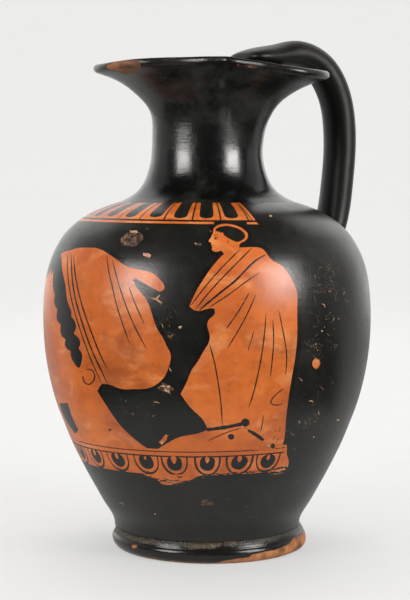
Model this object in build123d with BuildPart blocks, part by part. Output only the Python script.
from build123d import *
import math
import os

# Trefoil-mouthed wine jug in painted, fired clay.
# Frame: millimetres, origin in the middle of the foot's resting face, +Z up,
# the pouring lobe of the mouth towards -Y, the handle towards +Y.

# ---------------------------------------------------------------- dimensions
SLIP = 0.6                 # thickness of a luted clay-slip joint
BODY_WALL = 4.6            # wall of the belly
FLOOR_TOP = 15.8           # inside floor of the belly
FOOT_H = 10.2              # height of the foot ring
FOOT_IN_R = 33.0           # inside radius of the foot ring at the joint
FOOT_REST_IN_R = 36.5      # inner edge of the resting face
FOOT_REST_OUT_R = 43.4     # outer edge of the resting face
BODY_BASE_Z = FOOT_H + SLIP
BODY_BASE_R = 43.7

COLLAR_IN_R = 28.6         # hole in the shoulder under the neck
COLLAR_OUT_R = 38.6        # outer edge of the neck joint
COLLAR_IN_Z = 164.4        # height of the joint cone at the hole
COLLAR_OUT_Z = 162.7       # height of the joint cone at its outer edge

NECK_WALL = 4.2
LIP_R = 1.95               # half thickness of the rounded lip
THROAT_R = 25.8            # narrowest outside radius of the neck

HANDLE_N = 2.1             # roundness of the strap section

# outside profile of the belly and shoulder: radius, height
BODY_OUT = [
    (43.98, 12.8), (47.88, 20.2), (52.38, 28), (56.58, 35.7), (60.48, 43.4),
    (64.08, 51.1), (67.18, 58.8), (70.1, 66.4), (72.4, 74), (74.2, 81.6), (75.5, 89.1),
    (76.35, 96.7), (76.75, 104.2), (76.8, 110.9), (76.55, 117.3), (76, 122.9),
    (75.1, 128.5), (73.6, 134.1), (71.4, 139.6), (69.38, 143.3), (66.98, 147),
    (63.48, 150.7), (58.88, 154.4), (52.68, 158), (47.48, 160.1), (42.8, 161.7),
]

# outside profile of the lower neck: radius, height (round, below the flare)
NECK_LOW = [
    (38.2, 163.9), (36.5, 164.45), (34.5, 165.7), (32.6, 167.4), (31.0, 169.3),
    (29.75, 171.2), (28.7, 173.4), (27.65, 176.3), (26.85, 179.2), (26.25, 182.4),
]

# mouth, by angle from the pouring lobe (degrees)
LIP_RADIUS = [
    (0, 54.0), (10, 53.8), (20, 52.9), (30, 50.9), (40, 47.5), (50, 43.0),
    (60, 38.2), (70, 33.6), (78, 31.6), (84, 33.4), (90, 38.4), (97, 46.0),
    (105, 52.5), (115, 57.0), (126, 58.8), (136, 58.2), (146, 54.2), (154, 48.2),
    (162, 40.0), (170, 31.6), (176, 27.6), (180, 26.8),
]
LIP_HEIGHT = [
    (0, 222.9), (25, 223.7), (46, 224.3), (68, 225.4), (78, 225.7), (92, 223.7),
    (107, 220.7), (118, 219.9), (128, 219.8), (140, 220.4), (152, 222.2), (164, 224.4),
    (180, 226.6),
]
LIP_SLOPE = [            # rise of the wall where it meets the lip
    (0, 15.0), (30, 17.0), (60, 40.0), (78, 60.0), (92, 40.0), (110, 18.0),
    (126, 13.0), (142, 13.0), (158, 34.0), (172, 64.0), (180, 72.0),
]
FLARE_FOOT = [           # height where the flare leaves the round neck
    (0, 191.4), (60, 190.4), (100, 185.4), (130, 182.9), (155, 183.4), (180, 189.4),
]
FLARE_HOLD = [           # how long the wall keeps to the neck
    (0, 0.40), (30, 0.40), (60, 0.40), (78, 0.38), (92, 0.40), (110, 0.38),
    (142, 0.36), (160, 0.38), (180, 0.38),
]
FLARE_RUN = [            # how long the wall keeps to the lip's slope
    (0, 0.52), (30, 0.52), (60, 0.44), (78, 0.38), (92, 0.44), (110, 0.56),
    (142, 0.60), (160, 0.44), (180, 0.38),
]

# handle centre line: distance from the axis, height, half width, half thickness
HANDLE_PATH = [
    (19.0, 229.5, 10.8, 2.4),
    (20.8, 229.6, 14.0, 3.5),
    (24.2, 229.8, 14.8, 4.7),
    (29.4, 230.1, 14.0, 5.6),
    (37.8, 231.1, 12.3, 6.1),
    (46.6, 232.2, 10.8, 6.6),
    (54.9, 230.6, 10.0, 6.8),
    (61.9, 226.2, 9.6, 6.9),
    (67.2, 219.3, 9.4, 6.9),
    (70.9, 210.4, 9.3, 6.8),
    (72.9, 198.4, 9.3, 6.8),
    (73.0, 184.4, 9.3, 6.7),
    (71.7, 170.4, 9.4, 6.7),
    (70.0, 158.4, 9.7, 6.7),
    (67.4, 148.9, 10.4, 6.6),
    (63.2, 141.4, 11.4, 6.4),
    (57.4, 136.0, 12.4, 6.0),
]


# ------------------------------------------------------------------- helpers
def smooth(table, x):
    """Monotone cubic value of a table at x, level at both ends."""
    n = len(table)
    xs = [p[0] for p in table]
    ys = [p[1] for p in table]
    x = min(max(x, xs[0]), xs[-1])
    d = [(ys[i + 1] - ys[i]) / (xs[i + 1] - xs[i]) for i in range(n - 1)]
    m = [0.0] * n
    for i in range(1, n - 1):
        if d[i - 1] * d[i] > 0:
            w1 = 2 * (xs[i + 1] - xs[i]) + (xs[i] - xs[i - 1])
            w2 = (xs[i + 1] - xs[i]) + 2 * (xs[i] - xs[i - 1])
            m[i] = (w1 + w2) / (w1 / d[i - 1] + w2 / d[i])
    k = 0
    while k < n - 2 and x > xs[k + 1]:
        k += 1
    h = xs[k + 1] - xs[k]
    t = (x - xs[k]) / h
    return ((2 * t**3 - 3 * t**2 + 1) * ys[k] + (t**3 - 2 * t**2 + t) * h * m[k]
            + (-2 * t**3 + 3 * t**2) * ys[k + 1] + (t**3 - t**2) * h * m[k + 1])


def around(angle):
    """Fold an angle from the pouring lobe into 0..180."""
    a = abs(angle) % 360.0
    return 360.0 - a if a > 180.0 else a


def offset_points(points, dist):
    """Move a profile sideways, to the left of its running direction for dist > 0."""
    out = []
    for i, (r, z) in enumerate(points):
        a = points[max(i - 1, 0)]
        b = points[min(i + 1, len(points) - 1)]
        dr, dz = b[0] - a[0], b[1] - a[1]
        ln = math.hypot(dr, dz)
        out.append((r - dz / ln * dist, z + dr / ln * dist))
    return out


def lip_centre(angle):
    return smooth(LIP_RADIUS, around(angle)) - LIP_R, smooth(LIP_HEIGHT, around(angle))


def oblique(angle):
    """Thickening for the places where the wall runs slantwise round the mouth."""
    a = around(angle)
    r = smooth(LIP_RADIUS, a)
    dr = smooth(LIP_RADIUS, min(a + 2.0, 180.0)) - smooth(LIP_RADIUS, max(a - 2.0, 0.0))
    slant = dr / (r * math.radians(4.0))
    return min(math.sqrt(1.0 + slant * slant), 1.35)


def throat(z):
    """Radius at the foot of the flare, a little larger where the flare starts low."""
    return THROAT_R + 0.36 * max(0.0, (187.5 - z) / 4.6) ** 1.3


def neck_section(angle, grow):
    """Outside, lip and inside of the neck wall on one half plane, grown by grow."""
    a = around(angle)
    beta = math.radians(smooth(LIP_SLOPE, a))
    cr, cz = lip_centre(a)
    half = LIP_R
    z0 = smooth(FLARE_FOOT, a)
    p0 = (throat(z0), z0)
    p3 = (cr + half * math.sin(beta), cz - half * math.cos(beta))
    span = math.hypot(p3[0] - p0[0], p3[1] - p0[1])
    hold, run = smooth(FLARE_HOLD, a), smooth(FLARE_RUN, a)
    p1 = (p0[0], z0 + hold * span)
    p2 = (p3[0] - run * span * math.cos(beta), p3[1] - run * span * math.sin(beta))
    flare = []
    for k in range(9):
        t = k / 8.0
        u = 1.0 - t
        flare.append((
            u**3 * p0[0] + 3 * u * u * t * p1[0] + 3 * u * t * t * p2[0] + t**3 * p3[0],
            u**3 * p0[1] + 3 * u * u * t * p1[1] + 3 * u * t * t * p2[1] + t**3 * p3[1]))
    outer = NECK_LOW + flare
    inner = []
    for k in range(len(NECK_LOW), len(outer)):
        t = (k - len(NECK_LOW)) / 8.0
        i0, i1 = outer[k - 1], outer[min(k + 1, len(outer) - 1)]
        dr, dz = i1[0] - i0[0], i1[1] - i0[1]
        ln = math.hypot(dr, dz)
        th = NECK_WALL + (2 * LIP_R - NECK_WALL) * t
        th *= 1.0 + (oblique(a) - 1.0) * t * (1.0 - t) * 3.2
        inner.append((outer[k][0] - dz / ln * th, outer[k][1] + dr / ln * th))
    inner[-1] = (2 * cr - p3[0], 2 * cz - p3[1])
    low = [(COLLAR_IN_R + 0.2, COLLAR_IN_Z + SLIP), (27.4, 168.0), (25.4, 171.6),
           (23.8, 175.6), (22.4, 180.4)]
    inner = low + inner
    lip = [(cr + half * math.cos(g), cz + half * math.sin(g))
           for g in (beta - math.pi / 2, beta - math.pi / 4, beta, beta + math.pi / 4,
                     beta + math.pi / 2)]
    if grow:
        outer = offset_points(outer, -grow)
        inner = offset_points(inner, grow)
        lip = [(cr + (half + grow) * math.cos(g), cz + (half + grow) * math.sin(g))
               for g in (beta - math.pi / 2, beta - math.pi / 4, beta,
                         beta + math.pi / 4, beta + math.pi / 2)]
        outer[-1], inner[-1] = lip[0], lip[-1]
    return outer, lip, inner


def radial_plane(angle):
    a = math.radians(angle - 90.0)
    return Plane(origin=(0, 0, 0), x_dir=(math.cos(a), math.sin(a), 0),
                 z_dir=(math.sin(a), -math.cos(a), 0))


SECTION_ANGLES = [180.0 * k / 28 for k in range(29)]
BACK_ANGLES = [a for a in SECTION_ANGLES if a > 120]

# -------------------------------------------------------------- foot ring
with BuildPart() as foot:
    with BuildSketch(Plane.XZ):
        with BuildLine():
            Line((FOOT_REST_IN_R, 0), (FOOT_REST_OUT_R, 0))
            Spline((FOOT_REST_OUT_R, 0), (44.8, 0.8), (45.6, 2.7), (45.95, 4.8),
                   (45.85, 6.7), (45.2, 8.6), (BODY_BASE_R, FOOT_H))
            Line((BODY_BASE_R, FOOT_H), (FOOT_IN_R, FOOT_H))
            Spline((FOOT_IN_R, FOOT_H), (33.8, 5.0), (35.0, 1.6), (FOOT_REST_IN_R, 0))
        make_face()
    revolve(axis=Axis.Z)
foot.part.label = "foot"

# ------------------------------------- clay slip between foot ring and belly
with BuildPart() as foot_slip:
    with BuildSketch(Plane.XZ):
        with BuildLine():
            Polyline((FOOT_IN_R, FOOT_H), (BODY_BASE_R, FOOT_H),
                     (BODY_BASE_R, BODY_BASE_Z), (FOOT_IN_R, BODY_BASE_Z), close=True)
        make_face()
    revolve(axis=Axis.Z)
foot_slip.part.label = "foot_slip"

# --------------------------------------------------------- belly and shoulder
inside = [p for p in offset_points(BODY_OUT, BODY_WALL) if p[1] > FLOOR_TOP + 3.0]
with BuildPart() as body:
    with BuildSketch(Plane.XZ):
        with BuildLine():
            Line((0, BODY_BASE_Z), (BODY_BASE_R, BODY_BASE_Z))
            Spline((BODY_BASE_R, BODY_BASE_Z), *BODY_OUT, (COLLAR_OUT_R, COLLAR_OUT_Z))
            Line((COLLAR_OUT_R, COLLAR_OUT_Z), (COLLAR_IN_R, COLLAR_IN_Z))
            Line((COLLAR_IN_R, COLLAR_IN_Z), (COLLAR_IN_R, COLLAR_IN_Z - 3.9))
            Spline((COLLAR_IN_R, COLLAR_IN_Z - 3.9), *reversed(inside), (34.0, FLOOR_TOP + 0.9),
                   (24.0, FLOOR_TOP))
            Line((24.0, FLOOR_TOP), (0, FLOOR_TOP))
            Line((0, FLOOR_TOP), (0, BODY_BASE_Z))
        make_face()
    revolve(axis=Axis.Z)
body.part.label = "body"

# -------------------------------------------- clay slip under the neck joint
with BuildPart() as neck_slip:
    with BuildSketch(Plane.XZ):
        with BuildLine():
            Polyline((COLLAR_IN_R, COLLAR_IN_Z), (COLLAR_OUT_R, COLLAR_OUT_Z),
                     (COLLAR_OUT_R, COLLAR_OUT_Z + SLIP),
                     (COLLAR_IN_R, COLLAR_IN_Z + SLIP), close=True)
        make_face()
    revolve(axis=Axis.Z)
neck_slip.part.label = "neck_slip"


# ------------------------------------------- neck with the three-lobed mouth
def whole(half):
    """Close a half wall with its mirror image, leaving out the cut at the middle."""
    skin = [f for f in half.faces() if abs(f.center().X) > 0.01]
    return Solid(Shell(skin + [f.mirror(Plane.YZ) for f in skin]))


with BuildPart() as neck_half:
    for ang in SECTION_ANGLES:
        o, l, i = neck_section(ang, 0.0)
        with BuildSketch(radial_plane(ang)):
            with BuildLine():
                Spline(*o)
                Spline(*l)
                Spline(*reversed(i))
                Polyline(i[0], (i[0][0], COLLAR_OUT_Z), (o[0][0], COLLAR_OUT_Z), o[0])
            make_face()
    loft()

with BuildPart() as neck:
    add(whole(neck_half.part))
    # seat of the neck: the cone on top of the joint layer
    with BuildSketch(Plane.XZ):
        fall = (COLLAR_IN_Z - COLLAR_OUT_Z) / (COLLAR_OUT_R - COLLAR_IN_R)
        with BuildLine():
            Polyline((COLLAR_IN_R - 6, 158), (COLLAR_OUT_R + 4, 158),
                     (COLLAR_OUT_R + 4, COLLAR_OUT_Z + SLIP - 4 * fall),
                     (COLLAR_IN_R - 6, COLLAR_IN_Z + SLIP + 6 * fall), close=True)
        make_face()
    revolve(axis=Axis.Z, mode=Mode.SUBTRACT)
neck.part.label = "neck"

# the back of the same wall, thicker by the joint layer, to fit the handle against
with BuildPart() as back_half:
    for ang in BACK_ANGLES:
        o, l, i = neck_section(ang, SLIP)
        with BuildSketch(radial_plane(ang)):
            with BuildLine():
                Spline(*o)
                Spline(*l)
                Spline(*reversed(i))
                Line(i[0], o[0])
            make_face()
    loft()

with BuildPart() as neck_grown:
    add(whole(back_half.part))

# belly skin pushed out by the joint layer, filled to the axis
grown = offset_points(BODY_OUT, -SLIP)
with BuildPart() as body_grown:
    with BuildSketch(Plane.XZ):
        with BuildLine():
            Polyline(grown[-1], (0, grown[-1][1]), (0, grown[0][1]), grown[0])
            Spline(*grown)
        make_face()
    revolve(axis=Axis.Z)

# the belly's own skin, filled to the axis
with BuildPart() as body_filled:
    with BuildSketch(Plane.XZ):
        with BuildLine():
            Line((0, BODY_BASE_Z), (BODY_BASE_R, BODY_BASE_Z))
            Spline((BODY_BASE_R, BODY_BASE_Z), *BODY_OUT, (COLLAR_OUT_R, COLLAR_OUT_Z))
            Polyline((COLLAR_OUT_R, COLLAR_OUT_Z), (0, COLLAR_OUT_Z), (0, BODY_BASE_Z))
        make_face()
    revolve(axis=Axis.Z)

# ---------------------------------------------------------------- strap handle
with BuildPart() as strap:
    for k, (r, z, hw, ht) in enumerate(HANDLE_PATH):
        a = HANDLE_PATH[max(k - 1, 0)]
        b = HANDLE_PATH[min(k + 1, len(HANDLE_PATH) - 1)]
        run = Vector(0, b[0] - a[0], b[1] - a[1]).normalized()
        with BuildSketch(Plane(origin=(0, r, z), x_dir=(1, 0, 0), z_dir=run)):
            pts = []
            for j in range(16):
                g = 2 * math.pi * j / 16
                c, s = math.cos(g), math.sin(g)
                pts.append((hw * math.copysign(abs(c) ** (2 / HANDLE_N), c),
                            ht * math.copysign(abs(s) ** (2 / HANDLE_N), s)))
            with BuildLine():
                Spline(*pts, periodic=True)
            make_face()
    loft()

with BuildPart() as handle:
    add(strap.part)
    add(neck_grown.part, mode=Mode.SUBTRACT)
    add(body_grown.part, mode=Mode.SUBTRACT)
handle.part.label = "handle"

# --------------------------------------- clay slip joints of the handle ends
with BuildPart() as handle_rim_slip:
    add(strap.part)
    add(neck_grown.part, mode=Mode.INTERSECT)
    add(neck.part, mode=Mode.SUBTRACT)
handle_rim_slip.part.label = "handle_rim_slip"

with BuildPart() as handle_shoulder_slip:
    add(strap.part)
    add(body_grown.part, mode=Mode.INTERSECT)
    add(body_filled.part, mode=Mode.SUBTRACT)
handle_shoulder_slip.part.label = "handle_shoulder_slip"

# ---------------------------------------------------------------------- files
os.makedirs("parts", exist_ok=True)
export_step(foot.part, "parts/foot.step")
export_step(foot_slip.part, "parts/foot_slip.step")
export_step(body.part, "parts/body.step")
export_step(neck_slip.part, "parts/neck_slip.step")
export_step(neck.part, "parts/neck.step")
export_step(handle.part, "parts/handle.step")
export_step(handle_rim_slip.part, "parts/handle_rim_slip.step")
export_step(handle_shoulder_slip.part, "parts/handle_shoulder_slip.step")
for piece in (foot, foot_slip, body, neck_slip, neck, handle, handle_rim_slip,
              handle_shoulder_slip):
    bb = piece.part.bounding_box()
    print(piece.part.label, "solids", len(piece.part.solids()),
          "volume", round(piece.part.volume, 1),
          "box", [round(v, 2) for v in (*bb.min, *bb.max)], piece.part.is_valid)
